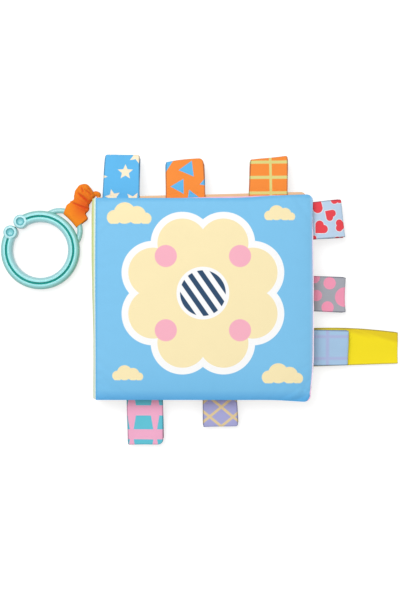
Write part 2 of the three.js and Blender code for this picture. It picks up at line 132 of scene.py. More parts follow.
inks = {
    "sky": "7ec6f0",
    # painted shade on the cover's edges, and a painted paler rim at its right
    "skyShade": "5fb2e6",
    "skyEdgeShade": "4ea6e2",
    "skyPaleRim": "b4c6e2",
    "butter": "fdecba",
    "cream": "fff3dc",
    "white": "ffffff",
    "navy": "27496b",
    "pink": "fbc6e0",
    # painted light on the pink cloth's right seam
    "pinkSeamLight": "ffeaf8",
    "blush": "fbb4c6",
    "tan": "f0c79f",
    "mint": "bfe6cd",
    "lavender": "c9bdea",
    "lime": "dbe997",
    "band": "dfeb9a",
    # painted highlight on the spine band
    "spineHighlight": "e6f6e4",
    "spineThread": "f7fbef",
    "orange": "fb8f35",
    "strapOrange": "f88a05",
    # painted shade in the strap's creases and patches
    "strapShadeDeep": "d2420c",
    "strapShadeRed": "e6500a",
    "elastic": "f4f1ea",
    "teal": "62cade",
    "rose": "fbb3d3",
    "red": "f2444f",
    "grey": "abadb6",
    "aqua": "c2dbf2",
    "plaid": "abcdec",
    "plaidLine": "b7b3e2",
    "yellow": "ffe80c",
    "yellowShade": "e6c814",
    "tagBlue": "5fbaf0",
    "tagStar": "fff0d0",
    # painted shade along the ribbons' edges
    "tagEdgeShade": "272745",
    "olive": "e2d984",
    "lilac": "aeafe0",
    "latticeLine": "ecd3a2",
    "dot": "fb9dbb",
    "wadding": "e9e6dc",
    "waddingPale": "fbfaf5",
    "film": "dfe8ec",
    "filmPale": "f4f8fa",
    "plastic": "98cfd3",
    "plasticPale": "a4dadc",
    # painted light and shade on the ring, from here to the end of the list
    "outerSlopeShade": "5cb3a0",
    "innerSlopeLight": "b4dbe3",
    "grooveLip": "84e3e4",
    "groove": "009c92",
    "knobTopLight": "b2e6ec",
    "knobRimShade": "5fa9ad",
    "dimple": "72c9d0",
    "dimpleRimShade": "3f98a3",
}


def tint(ink):  # a colour as it is written, made linear
    parts = [int(inks[ink][at:at + 2], 16) / 255 for at in (0, 2, 4)]
    return (*[part / 12.92 if part <= 0.04045 else ((part + 0.055) / 1.055) ** 2.4 for part in parts], 1)


def painted(colour, *layers):  # layers of a share and an ink, each over the last
    for share, ink in layers:
        colour = share.node("Mix", {0: share, 6: colour, 7: tint(ink)}, 2, data_type="RGBA")
    return colour


def most(first, *others):
    for other in others:
        first = first.math("MAXIMUM", other)
    return first


def least(first, *others):
    for other in others:
        first = first.math("MINIMUM", other)
    return first


# printed shapes: each gives how far inside the shape a place is, in millimetres
def distance(plane, centre):
    return plane.vector("DISTANCE", (*centre, 0), "Value")


def disc(plane, centre, radius):
    return radius - distance(plane, centre)


def turned(plane, centre, degrees):
    moved = plane.vector("SUBTRACT", (*centre, 0))
    return moved.node("VectorRotate", {"Vector": moved, "Angle": math.radians(-degrees)}, rotation_type="Z_AXIS")


def folded(plane, centre, degrees, corners):  # how far out a place is, and its turn from the nearest corner
    moved = turned(plane, centre, degrees)
    x, y, _ = moved.xyz()
    reach = moved.node("VectorMath", {0: moved}, "Value", operation="LENGTH")
    return reach, y.math("ARCTAN2", x).math("PINGPONG", math.pi / corners)


def pointed(plane, centre, degrees, corners, tip, notch=None):  # a star, or without its notch a plain figure
    wedge = math.pi / corners
    notch = tip * math.cos(wedge) if notch is None else notch
    edgeX, edgeY = notch * math.cos(wedge) - tip, notch * math.sin(wedge)
    reach, turn = folded(plane, centre, degrees, corners)
    facing = math.atan2(-edgeX, edgeY)
    return edgeY * tip / math.hypot(edgeX, edgeY) - reach * (turn - facing).math("COSINE")


def scalloped(plane, centre, degrees, lobes, spread, lobe):
    reach, turn = folded(plane, centre, degrees, lobes)
    away = reach * reach + spread * spread - reach * turn.math("COSINE") * (2 * spread)
    return most(lobe - away.math("SQRT"), spread - reach)


def heart(plane, centre, degrees, size, outline=0):
    moved = turned(plane, centre, degrees)
    x, y, _ = moved.xyz()
    point = (size - abs(x) - abs(y)) * math.sqrt(0.5)
    lobes = [disc(moved, (side * size / 2, size / 2), size * math.sqrt(0.5)) for side in (1, -1)]
    return most(point, *lobes) + outline


cloudPuffs = [(-0.85, -0.05, 0.42), (-0.25, 0.2, 0.62), (0.45, 0.08, 0.52), (0.95, -0.12, 0.34)]


def cloud(plane, centre, size):  # puffs above a flat floor
    x, y = centre
    puffs = [disc(plane, (x + size * across, y + size * up), size * wide) for across, up, wide in cloudPuffs]
    return least(most(*puffs), plane.xyz()[1] - (y - size * 0.42))


def straight(plane, *sides):  # inside straight sides, each a start, a slope across and a slope up
    x, y, _ = plane.xyz()
    return least(*[x * across + y * up + start for start, across, up in sides])


def crescent(plane, centre, radius, biteCentre, bite):
    return least(disc(plane, centre, radius), distance(plane, biteCentre) - bite)


def lens(plane, centre, offset, radius):  # what two discs share, one above the other
    x, y = centre
    return least(*[disc(plane, (x, y + up), radius) for up in (-offset, offset)])


def slab(offset, half):  # inside a stripe, from the distance to its middle line
    return half - abs(offset)


def every(offset, pitch):  # the distance to the nearest of evenly spaced lines
    return offset.math("WRAP", pitch / 2, -pitch / 2)


def scattered(plane, pitch, shape, *values):  # a shape in the corners and the middles of squares
    shapes = []
    for shift in (0, pitch / 2):
        x, y, _ = plane.vector("ADD", (shift, shift, 0)).xyz()
        shapes.append(shape(plane.node("CombineXYZ", {0: every(x, pitch), 1: every(y, pitch)}), *values))
    return most(*shapes)


def inked(inside, soft=0.28):
    return inside.ramp(-soft / 2, soft / 2)


# finishes
def newFinish(name, roughness, sheen=0, coat=0):
    finish = bpy.data.materials.new(name)
    finish.use_nodes = True
    shader = finish.node_tree.nodes["Principled BSDF"]
    for socket, amount in (("Roughness", roughness), ("Sheen Weight", sheen), ("Coat Weight", coat)):
        shader.inputs[socket].default_value = amount
    return finish, shader, Value(finish.node_tree)


def places(start, deep=1000):  # where a point of the piece is, in millimetres
    return start.node("TexCoord", output="Object").vector("MULTIPLY", (1000, 1000, deep))


clothLook = {
    "roughness": 0.86,
    "sheen": 0.12,
    "threadPitch": 0.55,  # from one thread to the next
    "threadHeight": 0.05,
    "threadShade": 0.035,
    "mottle": 0.035,
    "grainHeight": 0.04,
    "creaseHeight": 0.25,
    "bump": 0.6,
}


def cloth(name, ground, art=None, pitch=clothLook["threadPitch"], sheen=clothLook["sheen"], uvSize=None):
    finish, shader, start = newFinish(name, clothLook["roughness"], sheen)
    plane = start.node("TexCoord", output="UV").vector("MULTIPLY", (*uvSize, 0)) if uvSize else places(start, 0)
    colour = art(plane, tint(ground)) if art else tint(ground)
    # threads over and under each other
    x, y, _ = plane.xyz()
    weft = (x * (math.pi / pitch)).math("SINE")
    warp = (y * (math.pi / pitch)).math("SINE")
    weave = weft * warp * 0.5 + 0.5
    grain, cloudy = plane.clouded(1.1, 3), plane.clouded(0.06, 4)
    shade = 1 - clothLook["threadShade"] * (1 - weave) - clothLook["mottle"] * (grain + cloudy - 1)
    grey = start.node("CombineColor", {0: shade, 1: shade, 2: shade})
    start.node("Mix", {0: 1, 6: colour, 7: grey}, 2, data_type="RGBA", blend_type="MULTIPLY").feed(shader, "Base Color")
    height = weave * clothLook["threadHeight"] + grain * clothLook["grainHeight"] + cloudy * clothLook["creaseHeight"]
    height.feedBump(shader, clothLook["bump"])
    return finish


coverPrint = {
    "centre": (-1, 4),
    "degrees": 22.5,
    "lobes": 8,
    "spread": 40,
    "lobe": 18.5,
    "outline": 5,
    "buttons": 4,
    "buttonSpread": 39,
    "button": 8.2,
    "middle": 17,
    "middleOutline": 2.6,
    "stripeDegrees": 35,
    "stripePitch": 7.6,
    "clouds": [((-56, 61), 13), ((58, -58), 12), ((56, 62), 9), ((-57, -57), 9)],
}


def edgeShade(plane, colour):  # painted shade: the cloth is painted a deeper blue where the cover turns down to its seams and towards its bottom, and painted paler along its right edge
    x, y, _ = plane.xyz()
    inside = least((x + 80.6) * 2.4, 75 + x.ramp(32, 58) * 2.6 - y)
    return painted(
        colour, (y.ramp(-48, -75) * 0.34, "skyShade"), (inside.ramp(3.4, 0) * 0.75, "skyShade"),
        (y.ramp(-68.4, -75.4) * 0.8, "skyEdgeShade"), (x.ramp(78.5, 80.5) * 0.55, "skyPaleRim"),
    )


def coverArt(plane, colour):  # a scalloped flower with buttons round a striped middle, between clouds, over the painted edge shade
    look = coverPrint
    centre, pitch = look["centre"], look["stripePitch"]
    flower = scalloped(plane, centre, look["degrees"], look["lobes"], look["spread"], look["lobe"])
    buttons = []
    for button in range(look["buttons"]):
        turn = 2 * math.pi * (button + 0.5) / look["buttons"]
        spot = Vector(centre) + Vector((math.cos(turn), math.sin(turn))) * look["buttonSpread"]
        buttons.append(disc(plane, spot, look["button"]))
    middle = disc(plane, centre, look["middle"])
    across = turned(plane, centre, look["stripeDegrees"]).xyz()[0]
    stripes = least(slab(every(across, pitch), pitch / 4), middle)
    clouds = [cloud(plane, spot, size) for spot, size in look["clouds"]]
    return painted(
        edgeShade(plane, colour), (inked(flower + look["outline"]), "white"), (inked(flower), "butter"),
        (inked(most(*buttons)), "blush"), (inked(middle + look["middleOutline"]), "white"), (inked(stripes), "navy"),
        (inked(most(*clouds)), "butter"),
    )


pagePrint = {
    "window": (66, 62),  # the page's edges outside this are plain
    "border": (63, 59),
    "borderHalf": 2.2,
}


def within(plane, halves):
    x, y, _ = plane.xyz()
    return least(slab(x, halves[0]), slab(y, halves[1]))


def bordered(plane):
    return least(slab(within(plane, pagePrint["border"]), pagePrint["borderHalf"]), within(plane, pagePrint["window"]))


def printedPage(*layers):  # layers of a shape, its values and its ink
    def art(plane, colour):
        window = inked(within(plane, pagePrint["window"]), 1)
        return painted(colour, *[(inked(shape(plane, *values)) * window, ink) for shape, *values, ink in layers])
    return art


def sea(plane, level):
    x, y, _ = plane.xyz()
    return level + (x * 0.21).math("SINE") * 3 - y


def fishStripes(plane, centre, offset, radius):
    x = plane.xyz()[0]
    return least(slab(every(x, 13), 2.6), lens(plane, centre, offset, radius), slab(x - 4, 20))


heartPage = printedPage(
    (scattered, 30, disc, (0, 0), 2.6, "white"), (bordered, "white"), (disc, (0, 0), 42, "pink"),
    (heart, (0, -8), 0, 34, 4, "white"), (heart, (0, -8), 0, 34, "red"), (heart, (0, -4), 0, 18, "blush"),
)
sunPage = printedPage(
    (bordered, "cream"), (pointed, (0, 4), 0, 12, 48, 36, "orange"), (disc, (0, 4), 32, "yellow"),
    (cloud, (-36, -38), 22, "white"), (cloud, (38, -34), 17, "white"), (cloud, (40, 46), 12, "white"),
)
starPage = printedPage(
    (scattered, 34, disc, (0, 0), 1.8, "tan"), (bordered, "orange"), (disc, (0, 0), 46, "butter"),
    (pointed, (0, -2), 90, 5, 46, 21, "tagBlue"), (pointed, (0, -2), 90, 5, 26, 12, "white"),
)
boatPage = printedPage(
    (bordered, "white"), (disc, (40, 40), 11, "yellow"),
    (straight, (1, 1, 0), (44, -1.25, -1), (8, 0, 1), "white"),
    (straight, (-3, -1, 0), (36, 1.5, -1), (8, 0, 1), "orange"),
    (straight, (26, 0, 1), (-11, 0, -1), (36, 1, 0.6), (36, -1, 0.6), "red"),
    (sea, -24, "sky"), (sea, -38, "tagBlue"),
)
moonPage = printedPage(
    (scattered, 36, pointed, (0, 0), 90, 5, 4.4, 2, "white"), (bordered, "butter"), (disc, (0, 2), 41, "lavender"),
    (crescent, (0, 2), 36, (15, 10), 30, "butter"), (pointed, (16, 10), 90, 5, 13, 6, "yellow"),
)
fishPage = printedPage(
    (scattered, 26, disc, (0, 0), 2, "white"), (bordered, "tagBlue"), (disc, (0, 0), 46, "butter"),
    (pointed, (34, 0), 180, 3, 17, "orange"), (lens, (-6, 0), 26, 44, "orange"),
    (fishStripes, (-6, 0), 26, 40, "white"),
)


def pinkPage(plane, colour):  # painted light: the pink cloth is painted paler at its right seam, where its side turns away from the light
    return painted(heartPage(plane, colour), (inked(plane.xyz()[0] - 79.4, 0.8), "pinkSeamLight"))


def speckPrint(plane, colour):
    return painted(colour, (inked(scattered(plane, 24, disc, (0, 0), 3.2)), "white"))


# ribbons: their printed shapes lie where the photograph shows them, with x, y, turn and size
starSpots = [(-59.4, 95.3, 90, 6), (-50.8, 107.9, 212, 6.3), (-77.8, 91.7, 0, 5), (-68.7, 76.4, 104, 6),
             (-53.4, 73.8, 60, 6.6), (-67.5, 113.2, 90, 6)]
triangleSpots = [(-12.2, 97.6, 187, 7.2), (-18.8, 84.3, 181, 6.6), (-9, 75.9, 112, 6.4), (3.2, 88.2, 200, 7),
                 (-29.4, 101.3, 148, 7), (-31.5, 79.5, 60, 5)]
heartSpots = [(84.4, 71.6, 150, 5.3), (94, 63.7, 237, 3.75), (86.8, 52.3, -45, 4.5), (103.9, 55.2, 90, 3.76),
              (99.8, 76.5, 190, 4), (102.6, 41.9, 0, 4), (81.5, 44.5, 0, 2.4)]
dotSpots = [(95.2, 11.6, 4.7), (85.2, 2.3, 4.2), (106.8, 1.1, 7.4), (93.7, -6.8, 4.7), (83.6, 15.8, 4.2)]


def starTag(plane, colour):
    stars = most(*[pointed(plane, (x, y), turn, 5, size, size * 0.45) for x, y, turn, size in starSpots])
    return painted(colour, (inked(stars), "tagStar"))


def triangleTag(plane, colour):
    triangles = most(*[pointed(plane, (x, y), turn, 3, size) for x, y, turn, size in triangleSpots])
    return painted(colour, (inked(triangles), "tagBlue"))


def checkTag(plane, colour):
    x, y, _ = turned(plane, (50, 91.2), 0.5).xyz()
    return painted(colour, (inked(most(slab(every(y, 11.8), 1.2), slab(x, 1))), "olive"))


def heartTag(plane, colour):
    hearts = most(*[heart(plane, (x, y), turn, size) for x, y, turn, size in heartSpots])
    return painted(colour, (inked(hearts + 0.5) * 0.6, "white"), (inked(hearts), "red"))


def dotTag(plane, colour):
    return painted(colour, (inked(most(*[disc(plane, (x, y), size) for x, y, size in dotSpots])), "dot"))


def plaidTag(plane, colour):
    x, y, _ = plane.xyz()
    lines = most(slab(every(y + 28.9, 16.6), 1.1), slab(every(x - 93.6, 19), 1.2))
    return painted(colour, (inked(lines, 1.4) * 0.6, "plaidLine"))


def blockTag(plane, colour):
    x, y, _ = plane.xyz()
    slant = (y + 103.15).math("PINGPONG", 18.3) - 9.15  # each row of blocks leans the other way
    side = 6.6 - slant * 0.17 - abs(every(x + 46.1, 17.8))
    return painted(colour, (inked(least(side, slab(every(y + 94, 18.3), 5.3))), "teal"))


def latticeTag(plane, colour):
    x, y, _ = turned(plane.vector("MULTIPLY", (1, 1.2, 0)), (13, -98.8), 45).xyz()
    return painted(colour, (inked(most(slab(every(x, 12.6), 1.1), slab(every(y, 12.6), 1.1))), "latticeLine"))


def labelShade(plane, colour):  # the soft crease where the label bends up at its seam, and the shade above it
    x, y, _ = turned(plane, (121, -26.4), -16).xyz()
    crease = abs(y).ramp(3, 0) * x.ramp(14, -4) * 0.85
    above = y.ramp(-0.8, 1.7) * x.ramp(-9, -2) * 0.75
    return painted(colour, (most(crease, above), "yellowShade"))


def ribbonPrintEdgeShaded(art):  # painted shade: the ribbon is painted darker along its two rolled edges
    def shadedEdges(plane, colour):
        across = plane.node("TexCoord", output="UV").xyz()[1]
        return painted(art(plane, colour), (inked(abs(across - 0.5) - 0.405, 0.03) * 0.45, "tagEdgeShade"))
    return shadedEdges


def spineSeamAndHighlight(plane, colour):  # painted highlight: the band is painted paler towards its bottom and beside the covers' seam; stitches where the covers' edges are sewn on
    x, y, _ = plane.xyz()
    stitches = least(slab(every(y, 3.4), 1.05), slab(x + 81.6, 0.2))
    return painted(
        colour, (y.ramp(45, -55) * 0.7, "spineHighlight"), (inked(x + 82.5, 0.9), "spineHighlight"),
        (inked(stitches, 0.15), "spineThread"),
    )


print("prints ready")

# leaves
leaf = {
    "width": 160,
    "depth": 152,
    "thick": 5.7,
    "pitch": 6,  # from one leaf to the next
    "wall": 0.5,
    "seam": 0.3,
    "crownReach": 34,  # the padding reaches its full height this far from the seams
    "cornerRadius": 4.5,
    "cornerPower": 8,
    "rollPower": 16,
    "columns": 112,
    "rows": 106,
    "slack": 0.32,
    "slackLength": 42,
}
# sides: shares of the half size along the left, right, bottom and top; rolls: how far the cloth rolls past them
leaves = {
    "back_cover": {
        "level": 0,
        "sides": ((-1,), (0.985, 0.975, 0.985), (-0.985, -0.972, -0.99), (0.982, 0.975, 1)),
        "panels": {
            "back_cover_outer": (-1, "lime_cloth", "lime", speckPrint),
            "back_cover_inner": (1, "butter_cloth", "butter", fishPage),
        },
    },
    "second_leaf": {
        "level": 1,
        "sides": ((-1,), (0.98, 0.97, 0.985), (-0.985, -0.972, -0.985), (0.985, 0.985, 1.005)),
        "panels": {
            "second_leaf_back": (-1, "lavender_cloth", "lavender", moonPage),
            "second_leaf_front": (1, "mint_cloth", "mint", boatPage),
        },
    },
    "first_leaf": {
        "level": 2,
        "sides": ((-1,), (0.975, 0.97, 0.96), (-0.985, -0.975, -0.985), (0.999, 1.032, 1.065)),
        "rolls": dict.fromkeys(
            ("first_leaf_back", "first_leaf_front"), ((0,), (0,), (0,), (0.3, 0.3, -0.2, -0.6, -0.7))
        ),
        "panels": {
            "first_leaf_back": (-1, "butter_cloth", "butter", starPage),
            "first_leaf_front": (1, "tan_cloth", "tan", sunPage),
        },
    },
    "front_cover": {
        "level": 3,
        "sides": (
            (-1,), (0.984, 1.0075, 1.0095, 1.0095, 1.0095, 1.009, 1.005),
            (-0.988, -0.988, -0.988, -0.988, -0.989, -0.993, -1.016),
            (0.9875, 0.9865, 0.9865, 0.9865, 0.989, 1.0105, 1.0225),
        ),
        "rolls": {
            "front_cover_inner": ((0,), (0.7, 0.9, 1, 0.9, 0.6, -0.2), (0,),
                                  (-0.5, -0.5, -0.5, 0.3, 1, 0.9, 0.1, -0.5)),
            "front_cover_outer": ((-1, -1.05, -1.3, -1.3, -1), (-0.3, -0.1, 0.2, 0.1, -0.2, 0.6),
                                  (-0.6, -0.6, -0.6, -0.6, -0.4, 0), (0,)),
        },
        "creases": [((68.3, -62), (77, -69.6), 0.5, 1.3), ((70.5, -66.6), (62, -72.5), 0.25, 1.2),
                    ((73.8, 69), (77.6, 62), 0.2, 1.2), ((-76.5, 69), (-71, 73), 0.2, 1),
                    ((52, 71), (61, 75.5), 0.2, 1.3)],
        "panels": {
            "front_cover_inner": (-1, "pink_cloth", "pink", pinkPage),
            "front_cover_outer": (1, "sky_cloth", "sky", coverArt),
        },
    },
}


def mix(low, high, share):
    return low + (high - low) * share


def leafMiddle(one):
    return leaf["thick"] / 2 + one["level"] * leaf["pitch"]


def shareAt(row, place):  # on a smooth curve through the row
    at = (len(row) - 1) * (place + 1) / 2
    low = min(int(at), len(row) - 1)
    before, here, after, later = [row[max(0, min(len(row) - 1, low + step))] for step in (-1, 0, 1, 2)]
    part, leaving, arriving = at - low, (after - before) / 2, (later - here) / 2
    return (
        (2 * here - 2 * after + leaving + arriving) * part ** 3
        + (3 * after - 3 * here - 2 * leaving - arriving) * part ** 2 + leaving * part + here
    )


def leafPlace(one, across, along, roll=((0,), (0,), (0,), (0,))):
    halfWidth, halfDepth = leaf["width"] / 2, leaf["depth"] / 2
    left, right, bottom, top = one["sides"]
    x = mix(shareAt(left, along), shareAt(right, along), (1 + across) / 2) * halfWidth
    y = mix(shareAt(bottom, across), shareAt(top, across), (1 + along) / 2) * halfDepth
    radius = leaf["cornerRadius"]
    fromEdge = min(radius, (1 - across) * halfWidth)
    rounding = radius - math.sqrt(radius ** 2 - (radius - fromEdge) ** 2)
    x += shareAt(roll[1 if across > 0 else 0], along) * abs(across) ** leaf["rollPower"]
    y += shareAt(roll[3 if along > 0 else 2], across) * abs(along) ** leaf["rollPower"]
    return x, y - math.copysign(abs(along) ** leaf["cornerPower"] * rounding, along)


def crown(across, along):
    rise = 1
    for share, half in ((across, leaf["width"] / 2), (along, leaf["depth"] / 2)):
        near = min((1 - abs(share)) * half / leaf["crownReach"], 1)
        rise *= math.sqrt(max(0, 1 - (1 - near) ** 2))
    return rise


def closer(share):  # grid lines lie closer together near the edges
    return share * (1.5 - 0.5 * share ** 2)


def slackAt(x, y, seed):  # shallow hollows in the middle of a page
    return leaf["slack"] * abs(noise.noise(Vector((x / leaf["slackLength"], y / leaf["slackLength"], seed * 5.7))))


def creased(x, y, creases):  # how far the cloth dips into creases, given as from, to, depth and width
    drop = 0
    for start, end, depth, width in creases:
        start, end, here = Vector(start), Vector(end), Vector((x, y))
        line = end - start
        part = max(0, min(1, (here - start).dot(line) / line.length_squared))
        away = (here - start - line * part) / width
        side = away.dot(Vector((-line.y, line.x)).normalized())
        drop += depth * (math.exp(-away.length_squared) - 0.4 * math.exp(-(away.length_squared + 3.2 - 3.6 * side)))
    return drop


# a piece made from a grid, each of whose points is set by its place across and along
def gridMesh(columns, rows, place, closed=False, turnOver=False):
    mesh = bmesh.new()
    mesh.loops.layers.uv.new("UVMap")
    bmesh.ops.create_grid(mesh, x_segments=columns, y_segments=rows, size=0.5, calc_uvs=True)
    for vert in mesh.verts:
        vert.co = Vector(place(vert.co.x + 0.5, vert.co.y + 0.5)) * mm
    if closed:
        bmesh.ops.remove_doubles(mesh, verts=mesh.verts, dist=1e-7)
    if turnOver:
        bmesh.ops.reverse_faces(mesh, faces=mesh.faces)
    return mesh


def newObject(mesh, name):
    data = bpy.data.meshes.new(name)
    mesh.to_mesh(data)
    mesh.free()
    made = bpy.data.objects.new(name, data)
    bpy.context.scene.collection.objects.link(made)
    return made


def addPiece(mesh, name, body, finish, stands=(), sharp=40, wall=0):
    piece = newObject(mesh, name)
    piece.data.polygons.foreach_set("use_smooth", [True] * len(piece.data.polygons))
    piece.data.set_sharp_from_angle(angle=math.radians(sharp))
    piece.data.materials.append(finish)
    if wall:
        shell = piece.modifiers.new("wall", "SOLIDIFY")
        shell.thickness, shell.offset, shell.use_even_offset = wall * mm, -1, False
    if body:
        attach(piece, body)
    if stands:
        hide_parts(*stands)
    return piece


# the cloth of a page is blown up between its seams in a cloth simulation, and puckers along them
sewing = {
    "columns": 112,
    "rows": 106,
    "flat": (0.162, 0.154),  # a panel's cloth before it is sewn, in metres
    "enlarged": 10,  # the simulation runs on a page of this many times the size
    "spare": 0.035,  # how much longer the cloth is than its seams
    "pressure": 2.5,
    "stiffness": 12,
    "shear": 4,
    "bending": 0.5,
    "airDamping": 2,
    "quality": 6,
    "unevenness": 2,  # lumps that the blowing starts from
    "frames": 24,
    "heldDown": 3.2,  # the wadding's cover pulls it flat above about this height
}


def sewnCloth():  # how high each point of the simulated page stands
    width, depth = leaf["width"] * sewing["enlarged"], leaf["depth"] * sewing["enlarged"]

    def startPlace(u, v):
        lump = sewing["unevenness"] * noise.noise(Vector((u * 23, v * 23, 1.7)))
        return (u - 0.5) * width, (v - 0.5) * depth, lump

    page = newObject(gridMesh(sewing["columns"], sewing["rows"], startPlace), "sewnPage")
    seam = page.vertex_groups.new(name="seam")
    edge = [v.index for v in page.data.vertices
            if abs(v.co.x) > width / 2 * mm - 1e-5 or abs(v.co.y) > depth / 2 * mm - 1e-5]
    seam.add(edge, 1, "REPLACE")
    blowing = page.modifiers.new("cloth", "CLOTH")
    settings = blowing.settings
    settings.quality, settings.air_damping = sewing["quality"], sewing["airDamping"]
    settings.vertex_group_mass = "seam"
    settings.use_pressure, settings.uniform_pressure_force = True, sewing["pressure"]
    settings.shrink_min = -sewing["spare"]
    settings.tension_stiffness = settings.compression_stiffness = sewing["stiffness"]
    settings.shear_stiffness, settings.bending_stiffness = sewing["shear"], sewing["bending"]
    settings.effector_weights.gravity = 0
    blowing.collision_settings.use_collision = False
    blowing.point_cache.frame_end = sewing["frames"]
    for frameNumber in range(1, sewing["frames"] + 1):
        bpy.context.scene.frame_set(frameNumber)
    blown = page.evaluated_get(bpy.context.evaluated_depsgraph_get()).to_mesh()
    heights = [v.co.z / mm / sewing["enlarged"] for v in blown.vertices]
    bpy.data.objects.remove(page)
    bpy.context.scene.frame_set(1)
    return heights


pageHeights = sewnCloth()
print("page simulated")


def blownHeight(across, along):  # between the points of the simulated page
    wide = sewing["columns"] + 1
    x, y = (across + 1) / 2 * sewing["columns"], (along + 1) / 2 * sewing["rows"]
    left, low = min(int(x), sewing["columns"] - 1), min(int(y), sewing["rows"] - 1)
    near = mix(*pageHeights[low * wide + left:low * wide + left + 2], x - left)
    far = mix(*pageHeights[(low + 1) * wide + left:(low + 1) * wide + left + 2], x - left)
    return mix(near, far, y - low)


for leafName, one in leaves.items():
    middle = leafMiddle(one)
    for index, (name, (side, slot, ground, art)) in enumerate(one["panels"].items()):
        seed = one["level"] * 2 + index
        turnX, turnY = ((1, 1), (-1, -1), (-1, 1), (1, -1))[seed % 4]  # no two neighbours pucker alike
        rolls = [one["rolls"][name]] if "rolls" in one else []

        def panelPlace(u, v):
            across, along = closer(2 * u - 1) * side, closer(2 * v - 1)
            x, y = leafPlace(one, across, along, *rolls)
            rise = 1 - math.exp(-max(0, blownHeight(across * turnX, along * turnY)) / sewing["heldDown"])
            height = mix(leaf["seam"], leaf["thick"] / 2, rise) - slackAt(x, y, seed) * rise
            if side > 0:
                height -= creased(x, y, one.get("creases", ()))
            return x, y, middle + side * height

        panel = gridMesh(leaf["columns"], leaf["rows"], panelPlace)
        finish = cloth(name, ground, art)
        piece = addPiece(panel, name + "_cloth", leafName, finish, [name], wall=leaf["wall"])
        leafName + "_wadding_fill"
print("panels made")

# what lies inside each leaf: wadding, and a sheet of film that crackles
filling = {
    "inset": 6.5,
    "film": 0.12,
    "crinkle": 0.3,
    "crinkleLength": 7,
    "filmBelow": 0.75,  # below the upper cloth
    "waddingBelow": 1.25,
    "waddingAbove": 0.95,  # above the lower cloth
    "thinnest": 0.1,
    "lump": 0.16,
    "lumpLength": 5,
    "fill": 0.35,
    "columns": 70,
    "rows": 66,
}


def waddingFinish():
    finish, shader, start = newFinish("wadding", 0.95, sheen=0.2)
    fibres = places(start).clouded(0.9, 6, distortion=2)
    painted(tint("wadding"), (fibres, "waddingPale")).feed(shader, "Base Color")
    fibres.feedBump(shader, 0.8)
    return finish


def filmFinish():
    finish, shader, start = newFinish("crinkleFilm", 0.22, coat=0.3)
    cloudy = places(start).clouded(0.3, 2)
    painted(tint("film"), (cloudy, "filmPale")).feed(shader, "Base Color")
    (0.45 + cloudy * 0.3).feed(shader, "Alpha")
    return finish


waddingLook, filmLook = waddingFinish(), filmFinish()


def insidePlace(one, u, v):  # the same grid, short of the seams
    inset = filling["inset"]
    across = (2 * u - 1) * (1 - 2 * inset / leaf["width"])
    along = (2 * v - 1) * (1 - 2 * inset / leaf["depth"])
    x, y = leafPlace(one, across, along)
    return x, y, mix(leaf["seam"], leaf["thick"] / 2, crown(across, along))


for leafName, one in leaves.items():
    middle = leafMiddle(one)

    def lumpy(x, y, side):
        spot = Vector((x / filling["lumpLength"], y / filling["lumpLength"], one["level"] * 9 + side * 4))
        return filling["lump"] * noise.noise(spot)

    def lowPlace(u, v):
        x, y, height = insidePlace(one, u, v)
        return x, y, middle - max(height - filling["waddingAbove"] + lumpy(x, y, -1), filling["thinnest"])

    wadding = gridMesh(filling["columns"], filling["rows"], lowPlace)
    count = len(wadding.verts)
    bmesh.ops.extrude_face_region(wadding, geom=wadding.faces[:], use_keep_orig=True)
    for low, vert in zip(wadding.verts[:count], wadding.verts[count:]):
        x, y = low.co.x / mm, low.co.y / mm
        height = middle - low.co.z / mm - filling["waddingBelow"] + filling["waddingAbove"] + lumpy(x, y, 1)
        vert.co.z = (middle + max(height, filling["thinnest"])) * mm
    bmesh.ops.recalc_face_normals(wadding, faces=wadding.faces)
    fill = addPiece(wadding, leafName + "_wadding_fill", leafName, waddingLook, [leafName + "_wadding"])

    def filmPlace(u, v):
        x, y, height = insidePlace(one, u, v)
        spot = Vector((x / filling["crinkleLength"], y / filling["crinkleLength"], one["level"] * 3.3))
        crease = abs(noise.noise(spot)) + 0.5 * abs(noise.noise(spot * 2.3)) - 0.35
        return x, y, middle + height - filling["filmBelow"] + filling["crinkle"] * max(-1, min(1, crease * 1.6))

    film = gridMesh(filling["columns"] * 2, filling["rows"] * 2, filmPlace)
    sheet = addPiece(film, leafName + "_film_sheet", leafName, filmLook,
                     [leafName + "_crinkle_film"], sharp=12, wall=filling["film"])
    leafName + "_wadding_fill"
print("fillings made")

# ribbon tags, each folded in two and sewn into a leaf's seam
ribbon = {
    "full": 30,  # how far a reach of 1 is
    "swell": 0,  # how far the upper edge stands out midway
    "wall": 0.5,
    "baseHeight": 0.75,
    "foldHeight": 1.3,
    "droop": 0.3,  # of the tag's height above the table
    "wave": 0.5,
    "gap": 0.05,
    "lap": 3.5,  # how far each end runs over the leaf
    "columns": 120,
    "rows": 34,
    "threadPitch": 0.4,
    "curl": 0.25,
    "curlLength": 9,
}
